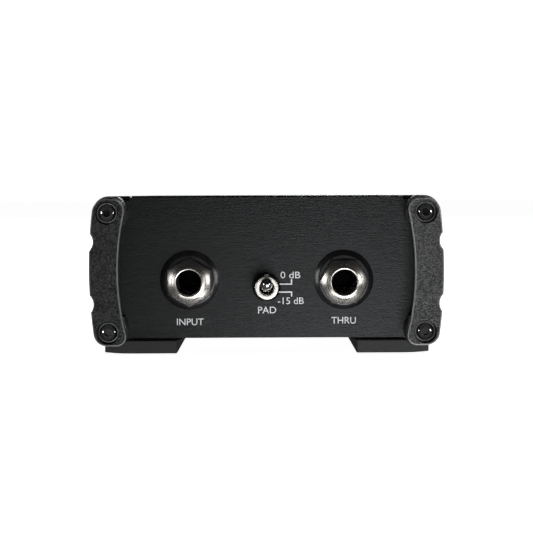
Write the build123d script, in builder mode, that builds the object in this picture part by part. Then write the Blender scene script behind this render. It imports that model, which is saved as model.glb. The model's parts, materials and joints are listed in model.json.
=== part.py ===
from build123d import *

import os
from math import cos, radians, sin

# Passive direct injection box: an extruded case with cast corner bumpers, two quarter-inch
# jacks and a pad switch in front, an XLR output and a ground-lift switch behind.
# Millimetres. The box stands on z = 0, is centred on x = 0 and y = 0, and its front faces -y.
# A "reach" is a distance outward from y = 0 towards the front (end -1) or the rear (end +1).

FRONT = -1
REAR = 1

# Overall size
half_width = 45.5
height = 40.7
half_length = 65.0

# Case plates
panel_reach = 57.5
panel_thickness = 2.0
panel_inner_reach = panel_reach - panel_thickness
case_bottom = 3.4
panel_top = 40.35
panel_half_width = 35.8
ear_half_width = 43.6
ear_top = 39.6
ear_corner = 3.5
base_thickness = 1.6
base_top = case_bottom + base_thickness
cover_thickness = 2.4
tongue_half_width = 38.1
tongue_bottom = height - cover_thickness
tongue_thickness = 1.1
slot_gap = 0.05

# Side rails and bumpers: one outline, convex outside and waisted inside
side_bottom = 2.2
side_middle = 21.3
outer_end_x = 44.05
inner_end_x = 35.4
inner_waist_x = 38.05
groove_heights = (29.1, 13.0)
groove_radius = 3.26
groove_depth = 1.1
side_wall_inner_x = 42.8
hollow_bottom = 9.5
hollow_top = 33.7

# Corner radii of that outline: outer top, inner top, outer low, inner low
rail_corners = (4.1, 0.6, 1.1, 1.1)
boss_corners = (4.1, 3.6, 3.45, 3.8)
face_corners = (3.7, 3.1, 3.45, 2.4)

# Cast bumpers
bumper_face_thickness = 2.2
bumper_face_top = 40.0
bumper_face_reach = half_length - bumper_face_thickness
bumper_chamfer = 0.35
boss_bevel = 0.5
boss_radius = 4.8

# Bumper screws, M3 button heads
screw_x = 40.75
screw_heights = (36.4, 5.65)
m3_radius = 1.5
m3_clearance_radius = 1.6
head_radius = 2.6
head_height = 1.5
head_rim = 0.4
head_seat_reach = 63.1
counterbore_radius = 2.95
screw_end_reach = 47.0
socket_across_flats = 2.0
socket_depth = 1.0

# Feet
foot_inner_x = 22.15
foot_inner_slant = 1.1
foot_inner_round = 0.4
foot_outer_x = 41.9
foot_reach = 62.3
foot_top = 3.35
foot_corner_width = 1.3
foot_corner_reach = 59.0
foot_edge_round = 0.3
foot_crown_x = 35.5
foot_crown_rise = 0.38
foot_step_x = inner_end_x - 0.1
foot_step_top = side_bottom - 0.05
foot_screw_x = 29.0
foot_screw_y = 45.0
foot_screw_radius = 1.25
foot_head_radius = 2.3
foot_head_pocket_radius = 2.6
foot_head_low = 0.5
foot_head_high = 1.8

# Quarter-inch jacks
jack_x = 20.2
jack_height = 18.2
plug_bore_radius = 3.25
thread_radius = 4.5
sleeve_reach = 61.2
sleeve_inner_reach = 50.0
sleeve_flange_radius = 6.0
sleeve_flange_thickness = 2.1
sleeve_mouth_chamfer = 0.45
sleeve_end_chamfer = 0.35
panel_clearance = 0.1
washer_radius = 7.75
washer_hole_radius = 5.0
washer_thickness = 1.0
washer_lift = 0.45
washer_crown_width = 1.5
washer_edge_height = 0.25
nut_across_flats = 11.2
nut_reach = 61.45
nut_side_height = 0.8
nut_dish = 0.45
jack_body_half = 8.5
jack_body_inner_reach = 28.0
jack_body_chamfer = 0.8
jack_cavity_radius = 3.9
jack_floor_reach = 30.0
spring_slot_half_width = 2.0
spring_route = ((0.0, -5.2), (5.0, -2.8), (7.2, -4.2))
spring_bend = 0.6
spring_width = 3.0
spring_thickness = 0.4
spring_leg_reaches = (49.0, 39.0)

# Toggle switches
pad_switch_height = 16.8
lift_switch_x = 25.0
lift_switch_height = 21.9
toggle_tilt = 10.0
bushing_radius = 3.1
bushing_bore_radius = 1.8
bushing_reach = 61.4
bushing_hole_radius = 3.55
bushing_chamfer = 0.25
keyway_width = 0.9
keyway_depth = 1.5
keyway_back = 0.5
toggle_pivot_reach = 56.9
toggle_ball_radius = 1.7
toggle_neck_radius = 0.85
toggle_tip_radius = 1.5
toggle_tip_distance = 6.3
toggle_tail_radius = 0.7
toggle_tail_distance = 6.9
toggle_pin_radius = 0.4
toggle_pin_half_length = 2.3
pin_slot_half_width = 2.45
toggle_body_half_x = 4.0
toggle_body_half_z = 6.6
toggle_body_reach = 53.0
toggle_body_inner_reach = 43.0
toggle_cavity_reach = 52.2
toggle_cavity_floor = 45.0
toggle_cavity_half_x = 2.2
toggle_cavity_half_z = 5.6
rocker_reach = 49.6
rocker_tilt = 9.0
rocker_half_length = 5.2
rocker_half_width = 1.3
rocker_thickness = 0.5
rocker_corner = 0.6
rocker_pivot_radius = 0.35
terminal_pitch = 4.7
terminal_width = 1.6
terminal_thickness = 0.6
terminal_leg_reaches = (40.5, 38.0, 35.5)
outer_terminal_reach = 48.2

# XLR output
output_height = 21.9
output_flange_width = 26.0
output_flange_height = 31.0
output_flange_thickness = 2.0
output_flange_corner = 3.0
output_flange_chamfer = 0.5
output_mouth = 0.8
output_key_half_width = 1.2
output_key_depth = 1.7
output_key_setback = 1.5
output_tube_radius = 11.7
output_panel_hole_radius = 12.0
output_cavity_radius = 8.0
output_insert_radius = 10.4
output_insert_reach = 45.0
output_tube_inner_reach = 41.0
output_pin_radius = 1.2
output_pin_circle = 3.75
output_pin_reach = 58.3
output_pin_inner_reach = 37.0
output_cup_radius = 0.75
output_cup_depth = 3.0
output_collar_radius = 1.5
output_collar_length = 1.2
output_screw_spots = ((-9.5, 12.0), (9.5, -12.0))
output_screw_head_radius = 2.9
output_screw_head_depth = 1.4
output_screw_tail = 0.8
cross_length = 2.6
cross_width = 0.55
cross_depth = 1.0
output_nut_flats = 5.5
output_nut_thickness = 2.4

# Circuit board
board_half_width = 34.0
board_front_y = -52.0
board_rear_y = 44.0
board_bottom = 8.0
board_thickness = 1.6
board_top = board_bottom + board_thickness
board_screw_spots = ((-31.5, -45.0), (31.5, -45.0), (-31.5, 22.0), (31.5, 22.0))
board_clearance = 0.15
standoff_radius = 2.5
board_head_radius = 2.2
board_head_height = 1.6
board_slot_half_length = 1.5
board_slot_half_width = 0.3
board_slot_depth = 0.7
board_screw_low = base_top + 0.4
lead_end = board_bottom - 0.8
lead_radius = 0.35
lead_hole_radius = 0.5

# Audio transformer
transformer_y = -8.0
core_half_width = 14.0
core_half_stack = 5.5
core_bottom = 12.0
core_height = 23.0
core_leg_half_width = 4.5
core_window_width = 5.0
core_window_height = 14.0
core_hole_inset = 2.6
core_hole_radius = 1.1
bobbin_gap = 0.1
bobbin_wall = 0.9
bobbin_flange = 4.2
bobbin_foot_half_width = 8.0
bobbin_foot_depths = (core_half_stack + 0.3, 9.4)
bobbin_socket_depth = 3.0
transformer_pin_depth = 2.8
winding_depth = 3.4
winding_corner = 2.2
transformer_pin_spots = [(x, transformer_y + y) for x in (-6.0, 0.0, 6.0) for y in (-7.6, 7.6)]

# Small components
resistor_spots = ((-24.0, -16.0), (-24.0, -10.0), (24.0, -13.0))
resistor_lead_half_span = 5.0
resistor_radius = 1.15
resistor_half_length = 3.1
component_lift = 0.2
component_lead_radius = 0.3
resistor_bend = 0.8
capacitor_spot = (24.0, 6.0)
capacitor_half_size = (3.0, 6.5)
capacitor_height = 10.0
capacitor_corner = 0.6
capacitor_lead_half_span = 5.0
output_wire_y = 30.0
output_wire_radius = 0.6
output_wire_bend = 3.0

output_pin_spots = (
    (-output_pin_circle, output_height),
    (output_pin_circle, output_height),
    (0.0, output_height - output_pin_circle),
)


def save(builder, name):
    """Label a finished sub-part and write it to its own file."""
    builder.part.label = name
    export_step(builder.part, f"parts/{name}.step")


def block(low, high, mode=Mode.ADD):
    """A box between two opposite corners."""
    size = [b - a for a, b in zip(low, high)]
    centre = tuple((a + b) / 2 for a, b in zip(low, high))
    with Locations(centre):
        Box(*size, mode=mode)


def end_block(end, x_span, reach_span, z_span, mode=Mode.ADD):
    """A box whose depth is given as a span of reaches towards one end."""
    y_low, y_high = sorted(end * reach for reach in reach_span)
    block((x_span[0], y_low, z_span[0]), (x_span[1], y_high, z_span[1]), mode)


def axis_plane(end, x, z):
    """Plane whose x is the radius and whose y is the reach, about a line through x and z."""
    return Plane(origin=(x, 0, z), x_dir=(1, 0, 0), z_dir=(0, 0, end))


def face_plane(end, reach):
    """Plane parallel to the panels, facing outward; its y is the height."""
    return Plane(origin=(0, end * reach, 0), x_dir=(-end, 0, 0), z_dir=(0, end, 0))


def turn(plane, outline, mode=Mode.ADD):
    """Revolve a closed outline of (radius, distance) points about the plane's y axis."""
    with BuildSketch(plane) as profile:
        with BuildLine():
            Polyline(*outline, close=True)
        make_face()
    revolve(profile.sketch, axis=Axis(plane.origin, plane.y_dir), mode=mode)


def rod(end, x, z, radius, reach_span, mode=Mode.ADD):
    """A round bar or hole along y between two reaches."""
    low, high = reach_span
    turn(axis_plane(end, x, z), ((0, low), (radius, low), (radius, high), (0, high)), mode)


def cross_bar(centre, radius, half_length):
    """A round bar along x."""
    with Locations(centre):
        Cylinder(radius, 2 * half_length, rotation=(0, 90, 0))


def post(x, y, radius, z_span, mode=Mode.ADD):
    """A round bar or hole along z between two heights."""
    low, high = z_span
    with Locations((x, y, (low + high) / 2)):
        Cylinder(radius, high - low, mode=mode)


def side_outline(plane, top, corners):
    """Section of a rail or bumper on the right-hand side, with its two grip grooves."""
    bottom = side_bottom
    outer_top, inner_top, outer_low, inner_low = corners
    with BuildSketch(plane) as outline:
        with BuildLine():
            ThreePointArc((outer_end_x, bottom), (half_width, side_middle), (outer_end_x, top))
            Line((outer_end_x, top), (inner_end_x, top))
            ThreePointArc((inner_end_x, top), (inner_waist_x, side_middle), (inner_end_x, bottom))
            Line((inner_end_x, bottom), (outer_end_x, bottom))
        make_face()
        fillet(outline.vertices().group_by(Axis.Y)[0].sort_by(Axis.X)[-1], outer_low)
        fillet(outline.vertices().group_by(Axis.Y)[0].sort_by(Axis.X)[0], inner_low)
        fillet(outline.vertices().group_by(Axis.Y)[-1].sort_by(Axis.X)[-1], outer_top)
        fillet(outline.vertices().group_by(Axis.Y)[-1].sort_by(Axis.X)[0], inner_top)
        groove_x = half_width - groove_depth + groove_radius
        with Locations(*[(groove_x, z) for z in groove_heights]):
            Circle(groove_radius, mode=Mode.SUBTRACT)
    return outline.sketch


# ---------------------------------------------------------------- case


def make_rails():
    """Two extruded side rails that the cover, base and panels lock into."""
    with BuildPart() as right_rail:
        section = side_outline(face_plane(FRONT, -panel_inner_reach), height, rail_corners)
        extrude(section, amount=2 * panel_inner_reach)
        length = (-half_length, half_length)
        low_y, high_y = length
        block(
            (inner_end_x - 1, low_y, hollow_bottom),
            (side_wall_inner_x, high_y, hollow_top),
            Mode.SUBTRACT,
        )
        block(
            (inner_end_x - 1, low_y, tongue_bottom - slot_gap),
            (tongue_half_width + slot_gap, high_y, tongue_bottom + tongue_thickness + slot_gap),
            Mode.SUBTRACT,
        )
        block(
            (inner_end_x - 1, low_y, case_bottom - slot_gap),
            (tongue_half_width + slot_gap, high_y, base_top + slot_gap),
            Mode.SUBTRACT,
        )
        for z in screw_heights:
            rod(FRONT, screw_x, z, m3_radius + slot_gap, length, Mode.SUBTRACT)
    save(right_rail, "right_side_rail")
    with BuildPart() as left_rail:
        mirror(right_rail.part, about=Plane.YZ)
    save(left_rail, "left_side_rail")


def make_cover_and_base():
    """Lid and floor, which slide into the rails' slots before the panels close the ends."""
    with BuildPart() as top_cover:
        block(
            (-tongue_half_width, -panel_inner_reach, tongue_bottom),
            (tongue_half_width, panel_inner_reach, tongue_bottom + tongue_thickness),
        )
        block(
            (-inner_end_x + slot_gap, -panel_inner_reach, tongue_bottom),
            (inner_end_x - slot_gap, panel_inner_reach, height),
        )
    save(top_cover, "top_cover")
    with BuildPart() as base_plate:
        block(
            (-tongue_half_width, -panel_inner_reach, case_bottom),
            (tongue_half_width, panel_inner_reach, base_top),
        )
        for x in (-foot_screw_x, foot_screw_x):
            for y in (-foot_screw_y, foot_screw_y):
                post(x, y, foot_screw_radius + slot_gap, (case_bottom, base_top), Mode.SUBTRACT)
    save(base_plate, "base_plate")


def panel_blank(end):
    """Panel with lowered ears that the bumpers clamp against the rails."""
    with BuildSketch(face_plane(end, panel_inner_reach)) as outline:
        ear_height = ear_top - case_bottom
        with Locations((0, case_bottom + ear_height / 2)):
            RectangleRounded(2 * ear_half_width, ear_height, ear_corner)
        with Locations((0, (case_bottom + panel_top) / 2)):
            Rectangle(2 * panel_half_width, panel_top - case_bottom)
    extrude(outline.sketch, amount=panel_thickness)
    through = (panel_inner_reach - 1, panel_reach + 1)
    for x in (-screw_x, screw_x):
        for z in screw_heights:
            rod(end, x, z, m3_clearance_radius, through, Mode.SUBTRACT)
    return through


def make_panels():
    """Front panel for the jacks and pad switch, rear panel for the output and lift switch."""
    toggle_hole_chamfer = 0.2
    with BuildPart() as front_panel:
        through = panel_blank(FRONT)
        for x in (-jack_x, jack_x):
            rod(FRONT, x, jack_height, thread_radius + panel_clearance, through, Mode.SUBTRACT)
        rod(FRONT, 0, pad_switch_height, bushing_hole_radius, through, Mode.SUBTRACT)
        turn(
            axis_plane(FRONT, 0, pad_switch_height),
            (
                (0, panel_reach - toggle_hole_chamfer),
                (bushing_hole_radius, panel_reach - toggle_hole_chamfer),
                (bushing_hole_radius + toggle_hole_chamfer, panel_reach),
                (0, panel_reach),
            ),
            Mode.SUBTRACT,
        )
    save(front_panel, "front_panel")
    with BuildPart() as rear_panel:
        through = panel_blank(REAR)
        rod(REAR, 0, output_height, output_panel_hole_radius, through, Mode.SUBTRACT)
        rod(REAR, lift_switch_x, lift_switch_height, bushing_hole_radius, through, Mode.SUBTRACT)
        for x, z in output_screw_spots:
            rod(REAR, x, output_height + z, m3_clearance_radius, through, Mode.SUBTRACT)
    save(rear_panel, "rear_panel")


def make_bumpers():
    """Cast corner bumpers: a grained face on two screw bosses, hollow between them."""
    section = side_outline(face_plane(FRONT, panel_reach), height, boss_corners)
    depth = bumper_face_reach - panel_reach
    boss_span = (panel_reach, bumper_face_reach)
    with BuildPart() as boss_limit:
        extrude(section, amount=depth)
        end_block(FRONT, (inner_end_x - 1, screw_x), boss_span, (side_bottom, height))
    with BuildPart() as bosses:
        for z in screw_heights:
            rod(FRONT, screw_x, z, boss_radius, (panel_reach, bumper_face_reach - boss_bevel))
        add(boss_limit.part, mode=Mode.INTERSECT)
    with BuildPart() as front_right:
        extrude(section, amount=depth)
        front_rim = front_right.faces().sort_by(Axis.Y)[0].edges()
        chamfer(front_rim.filter_by_position(Axis.Z, screw_heights[0], height), boss_bevel)
        end_block(
            FRONT,
            (inner_end_x - 1, side_wall_inner_x),
            boss_span,
            (hollow_bottom, hollow_top),
            Mode.SUBTRACT,
        )
        add(bosses.part)
        face = side_outline(face_plane(FRONT, bumper_face_reach), bumper_face_top, face_corners)
        extrude(face, amount=bumper_face_thickness)
        chamfer(front_right.faces().sort_by(Axis.Y)[0].edges(), bumper_chamfer)
        for z in screw_heights:
            rod(FRONT, screw_x, z, m3_clearance_radius, (0, half_length), Mode.SUBTRACT)
            head_room = (head_seat_reach, half_length)
            rod(FRONT, screw_x, z, counterbore_radius, head_room, Mode.SUBTRACT)
    save(front_right, "front_right_bumper")
    with BuildPart() as front_left:
        mirror(front_right.part, about=Plane.YZ)
    save(front_left, "front_left_bumper")
    with BuildPart() as rear_right:
        mirror(front_right.part, about=Plane.XZ)
    save(rear_right, "rear_right_bumper")
    with BuildPart() as rear_left:
        mirror(front_left.part, about=Plane.XZ)
    save(rear_left, "rear_left_bumper")


def make_bumper_screws(end, name):
    """Four M3 button-head screws through the bumpers and the panel ears into the rails."""
    head_top = head_seat_reach + head_height
    shoulder = head_seat_reach + head_rim
    with BuildPart() as screws:
        for x in (-screw_x, screw_x):
            for z in screw_heights:
                plane = axis_plane(end, x, z)
                with BuildSketch(plane) as profile:
                    with BuildLine():
                        Polyline(
                            (0, head_top),
                            (0, screw_end_reach),
                            (m3_radius, screw_end_reach),
                            (m3_radius, head_seat_reach),
                            (head_radius, head_seat_reach),
                            (head_radius, shoulder),
                        )
                        ThreePointArc(
                            (head_radius, shoulder),
                            (0.72 * head_radius, head_seat_reach + 0.74 * head_height),
                            (0, head_top),
                        )
                    make_face()
                revolve(profile.sketch, axis=Axis(plane.origin, plane.y_dir))
                with BuildSketch(face_plane(end, head_top - socket_depth)) as socket:
                    with Locations((-end * x, z)):
                        RegularPolygon(socket_across_flats / 2, 6, major_radius=False)
                extrude(socket.sketch, amount=2 * socket_depth, mode=Mode.SUBTRACT)
    save(screws, name)


def bumper_room(end):
    """Space that a foot leaves around a bumper's lower corner."""
    with BuildSketch(face_plane(end, panel_reach - slot_gap)) as room:
        add(side_outline(face_plane(end, panel_reach), height, face_corners))
        with Locations((screw_x, screw_heights[1])):
            Circle(boss_radius)
        with Locations((screw_x, side_bottom / 2)):
            Rectangle(3 * boss_radius, side_bottom, mode=Mode.SUBTRACT)
        offset(amount=2 * slot_gap)
    return room.sketch


def make_feet():
    """Two moulded runners that stand ahead of the panels, stepped to clear the rails."""
    with BuildPart() as right_foot:
        with BuildSketch(face_plane(FRONT, 0)) as runner:
            with BuildLine():
                Polyline(
                    (foot_crown_x, 0),
                    (foot_inner_x + foot_inner_slant, 0),
                    (foot_inner_x, foot_top),
                    (foot_outer_x, foot_top),
                    (foot_outer_x, foot_crown_rise),
                )
                ThreePointArc(
                    (foot_outer_x, foot_crown_rise),
                    ((foot_outer_x + foot_crown_x) / 2, foot_crown_rise / 4),
                    (foot_crown_x, 0),
                )
            make_face()
            fillet(runner.vertices().group_by(Axis.Y)[0].sort_by(Axis.X)[0], foot_inner_round)
        extrude(runner.sketch, amount=foot_reach)
        with BuildSketch(Plane.XY) as corner:
            with BuildLine():
                Polyline(
                    (foot_inner_x - 1, -foot_reach - 1),
                    (foot_inner_x - 1, -foot_corner_reach),
                    (foot_inner_x, -foot_corner_reach),
                    (foot_inner_x + foot_corner_width, -foot_reach),
                    (foot_inner_x + foot_corner_width, -foot_reach - 1),
                    close=True,
                )
            make_face()
        extrude(corner.sketch, amount=foot_top, mode=Mode.SUBTRACT)
        front = right_foot.faces().sort_by(Axis.Y)[0].edges()
        fillet(front.sort_by(Axis.Z)[-1], foot_edge_round)
        block(
            (foot_step_x, -panel_reach, foot_step_top),
            (half_width, 0, height),
            Mode.SUBTRACT,
        )
        extrude(bumper_room(FRONT), amount=half_length, mode=Mode.SUBTRACT)
        post(foot_screw_x, -foot_screw_y, foot_screw_radius + slot_gap, (0, foot_top), Mode.SUBTRACT)
        pocket = (0, foot_head_high)
        post(foot_screw_x, -foot_screw_y, foot_head_pocket_radius, pocket, Mode.SUBTRACT)
        mirror(about=Plane.XZ)
    save(right_foot, "right_foot")
    with BuildPart() as left_foot:
        mirror(right_foot.part, about=Plane.YZ)
    save(left_foot, "left_foot")
    with BuildPart() as foot_screws:
        for x in (-foot_screw_x, foot_screw_x):
            for y in (-foot_screw_y, foot_screw_y):
                post(x, y, foot_screw_radius, (foot_head_high, base_top))
                post(x, y, foot_head_radius, (foot_head_low, foot_head_high))
    save(foot_screws, "foot_screws")


# ---------------------------------------------------------------- jacks


def jack_sleeve(x, name):
    """Threaded sleeve with the plug's bore, flanged behind the panel."""
    flange_back = panel_inner_reach - sleeve_flange_thickness
    outline = (
        (plug_bore_radius, sleeve_inner_reach),
        (thread_radius, sleeve_inner_reach),
        (thread_radius, flange_back),
        (sleeve_flange_radius, flange_back),
        (sleeve_flange_radius, panel_inner_reach),
        (thread_radius, panel_inner_reach),
        (thread_radius, sleeve_reach - sleeve_end_chamfer),
        (thread_radius - sleeve_end_chamfer, sleeve_reach),
        (plug_bore_radius + sleeve_mouth_chamfer, sleeve_reach),
        (plug_bore_radius, sleeve_reach - sleeve_mouth_chamfer),
    )
    with BuildPart() as sleeve:
        turn(axis_plane(FRONT, x, jack_height), outline)
    save(sleeve, name)


def jack_washer(x, name):
    """Domed dress washer, sitting high in its clearance on the thread."""
    face = panel_reach + washer_thickness
    crown_radius = washer_radius - washer_crown_width
    plane = axis_plane(FRONT, x, jack_height + washer_lift)
    with BuildPart() as washer:
        with BuildSketch(plane) as profile:
            with BuildLine():
                Polyline(
                    (crown_radius, face),
                    (washer_hole_radius, face),
                    (washer_hole_radius, panel_reach),
                    (washer_radius, panel_reach),
                    (washer_radius, panel_reach + washer_edge_height),
                )
                ThreePointArc(
                    (washer_radius, panel_reach + washer_edge_height),
                    (washer_radius - 0.4 * washer_crown_width, face - 0.18 * washer_thickness),
                    (crown_radius, face),
                )
            make_face()
        revolve(profile.sketch, axis=Axis(plane.origin, plane.y_dir))
    save(washer, name)


def jack_nut(x, turn_degrees, name):
    """Hexagon nut with a domed face and a dished rim around the sleeve."""
    seat = panel_reach + washer_thickness
    corner_radius = nut_across_flats / 2 / cos(radians(30))
    blank_radius = corner_radius + 0.1
    bore = thread_radius + slot_gap
    lip = bore + nut_dish
    plane = axis_plane(FRONT, x, jack_height)
    with BuildPart() as nut:
        with BuildSketch(face_plane(FRONT, seat)) as hexagon:
            with Locations((x, jack_height)):
                RegularPolygon(nut_across_flats / 2, 6, major_radius=False, rotation=turn_degrees)
        extrude(hexagon.sketch, amount=nut_reach - seat)
        with BuildSketch(plane) as dome:
            with BuildLine():
                Polyline(
                    (bore, nut_reach - nut_dish),
                    (bore, seat),
                    (blank_radius, seat),
                    (blank_radius, seat + nut_side_height),
                )
                ThreePointArc(
                    (blank_radius, seat + nut_side_height),
                    (corner_radius - 0.75, nut_reach - 0.55),
                    (lip, nut_reach),
                )
                Line((lip, nut_reach), (bore, nut_reach - nut_dish))
            make_face()
        revolve(dome.sketch, axis=Axis(plane.origin, plane.y_dir), mode=Mode.INTERSECT)
    save(nut, name)


def jack_body(x, name):
    """Moulded housing behind the panel, with the plug's cavity and a slot for the springs."""
    flange_back = panel_inner_reach - sleeve_flange_thickness
    with BuildPart() as body:
        end_block(
            FRONT,
            (x - jack_body_half, x + jack_body_half),
            (jack_body_inner_reach, panel_inner_reach),
            (jack_height - jack_body_half, jack_height + jack_body_half),
        )
        chamfer(body.edges().filter_by(Axis.Y), jack_body_chamfer)
        cavity = (jack_floor_reach, panel_inner_reach)
        tail = (sleeve_inner_reach, panel_inner_reach)
        pocket = (flange_back, panel_inner_reach)
        rod(FRONT, x, jack_height, jack_cavity_radius, cavity, Mode.SUBTRACT)
        rod(FRONT, x, jack_height, thread_radius + slot_gap, tail, Mode.SUBTRACT)
        rod(FRONT, x, jack_height, sleeve_flange_radius + slot_gap, pocket, Mode.SUBTRACT)
        end_block(
            FRONT,
            (x - spring_slot_half_width, x + spring_slot_half_width),
            (jack_floor_reach + 0.5, sleeve_inner_reach - 0.3),
            (jack_height - jack_body_half, jack_height - spring_slot_half_width),
            Mode.SUBTRACT,
        )
    save(body, name)


def jack_spring(x, leg_reach, name):
    """Bent contact strip: a leg through the board, then an arm that rises into the bore."""
    route = [(-leg_reach, lead_end)]
    route += [(step - leg_reach, jack_height + rise) for step, rise in spring_route]
    with BuildPart() as spring:
        with BuildSketch(Plane.YZ.offset(x - spring_width / 2)) as strip:
            with BuildLine():
                FilletPolyline(*route, radius=spring_bend)
            trace(line_width=spring_thickness)
        extrude(strip.sketch, amount=spring_width)
    save(spring, name)


def make_jack(x, nut_turn, name):
    """One complete quarter-inch jack."""
    jack_sleeve(x, f"{name}_sleeve")
    jack_washer(x, f"{name}_washer")
    jack_nut(x, nut_turn, f"{name}_nut")
    jack_body(x, f"{name}_body")
    for leg_reach, contact in zip(spring_leg_reaches, ("ground", "tip")):
        jack_spring(x, leg_reach, f"{name}_{contact}_spring")


# ---------------------------------------------------------------- toggle switches


def toggle_bushing(end, x, z, name):
    """Bushing with a keyway, and a slot from behind that the lever's cross pin turns in."""
    outline = (
        (bushing_bore_radius, toggle_body_reach),
        (bushing_radius, toggle_body_reach),
        (bushing_radius, bushing_reach - bushing_chamfer),
        (bushing_radius - bushing_chamfer, bushing_reach),
        (bushing_bore_radius + bushing_chamfer, bushing_reach),
        (bushing_bore_radius, bushing_reach - bushing_chamfer),
    )
    with BuildPart() as bushing:
        turn(axis_plane(end, x, z), outline)
        end_block(
            end,
            (x - keyway_width / 2, x + keyway_width / 2),
            (panel_reach + keyway_back, bushing_reach + 1),
            (z + bushing_radius - keyway_depth, z + bushing_radius + 1),
            Mode.SUBTRACT,
        )
        slot_half_height = toggle_pin_radius + slot_gap
        end_block(
            end,
            (x - pin_slot_half_width, x + pin_slot_half_width),
            (toggle_body_reach, toggle_pivot_reach + slot_half_height),
            (z - slot_half_height, z + slot_half_height),
            Mode.SUBTRACT,
        )
    save(bushing, name)


def toggle_lever(end, x, z, name):
    """Ball-ended lever, tilted up by half its throw about the cross pin through its ball."""
    tilt = radians(toggle_tilt)
    pivot = (x, end * toggle_pivot_reach, z)
    plane = Plane(origin=pivot, x_dir=(1, 0, 0), z_dir=(0, -sin(tilt), end * cos(tilt)))
    with BuildPart() as lever:
        turn(
            plane,
            (
                (0, 1 - toggle_tail_distance),
                (toggle_tail_radius, 1 - toggle_tail_distance),
                (toggle_tail_radius, -1),
                (toggle_neck_radius, 1),
                (toggle_neck_radius, toggle_tip_distance - 1),
                (0, toggle_tip_distance),
            ),
        )
        turn(
            plane,
            (
                (0, -toggle_tail_distance + toggle_tail_radius),
                (toggle_tail_radius, -toggle_tail_distance + toggle_tail_radius),
                (toggle_tail_radius, 0),
                (0, 0),
            ),
        )
        ball_centres = (
            (0.0, toggle_ball_radius),
            (toggle_tip_distance, toggle_tip_radius),
            (-toggle_tail_distance + toggle_tail_radius, toggle_tail_radius),
        )
        for distance, radius in ball_centres:
            with Locations(plane.from_local_coords(Vector(0, distance, 0))):
                Sphere(radius, rotation=(0, 0, 45))
        cross_bar(pivot, toggle_pin_radius, toggle_pin_half_length)
    save(lever, name)


def toggle_body(end, x, z, name):
    """Switch housing with a chamber for the rocker and slots for three terminals."""
    with BuildPart() as body:
        end_block(
            end,
            (x - toggle_body_half_x, x + toggle_body_half_x),
            (toggle_body_inner_reach, toggle_body_reach),
            (z - toggle_body_half_z, z + toggle_body_half_z),
        )
        end_block(
            end,
            (x - toggle_cavity_half_x, x + toggle_cavity_half_x),
            (toggle_cavity_floor, toggle_cavity_reach),
            (z - toggle_cavity_half_z, z + toggle_cavity_half_z),
            Mode.SUBTRACT,
        )
        mouth = (toggle_cavity_reach - 1, toggle_body_reach)
        rod(end, x, z, bushing_bore_radius + panel_clearance, mouth, Mode.SUBTRACT)
        for step in (-1, 0, 1):
            terminal_z = z + step * terminal_pitch
            end_block(
                end,
                (x - terminal_width / 2, x + terminal_width / 2),
                (toggle_body_inner_reach, toggle_cavity_floor),
                (terminal_z - terminal_thickness / 2, terminal_z + terminal_thickness / 2),
                Mode.SUBTRACT,
            )
    save(body, name)


def toggle_terminals(end, x, z, name):
    """Three blades that run back out of the switch and down through the board."""
    half_width_x = terminal_width / 2
    half_thick = terminal_thickness / 2
    centre_reach = rocker_reach - rocker_pivot_radius - slot_gap
    inner_reaches = (outer_terminal_reach, centre_reach, outer_terminal_reach)
    with BuildPart() as terminals:
        for step, leg_reach, tip_reach in zip((-1, 0, 1), terminal_leg_reaches, inner_reaches):
            blade_z = z + step * terminal_pitch
            x_span = (x - half_width_x, x + half_width_x)
            end_block(
                end,
                x_span,
                (leg_reach - half_thick, tip_reach),
                (blade_z - half_thick, blade_z + half_thick),
            )
            end_block(
                end,
                x_span,
                (leg_reach - half_thick, leg_reach + half_thick),
                (lead_end, blade_z + half_thick),
            )
    save(terminals, name)


def toggle_rocker(end, x, z, name):
    """See-saw contact on a half-round rib over the centre terminal, tilted to the lower one."""
    tilt = radians(rocker_tilt)
    plane = Plane(
        origin=(x, end * rocker_reach, z),
        x_dir=(1, 0, 0),
        z_dir=(0, end * cos(tilt), -sin(tilt)),
    )
    with BuildPart() as rocker:
        with BuildSketch(plane) as strip:
            RectangleRounded(2 * rocker_half_width, 2 * rocker_half_length, rocker_corner)
        extrude(strip.sketch, amount=rocker_thickness / 2, both=True)
        cross_bar((x, end * rocker_reach, z), rocker_pivot_radius, rocker_half_width)
    save(rocker, name)


def make_toggle(end, x, z, name):
    """One complete toggle switch."""
    toggle_bushing(end, x, z, f"{name}_bushing")
    toggle_lever(end, x, z, f"{name}_lever")
    toggle_body(end, x, z, f"{name}_body")
    toggle_terminals(end, x, z, f"{name}_terminals")
    toggle_rocker(end, x, z, f"{name}_rocker")


# ---------------------------------------------------------------- XLR output


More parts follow.
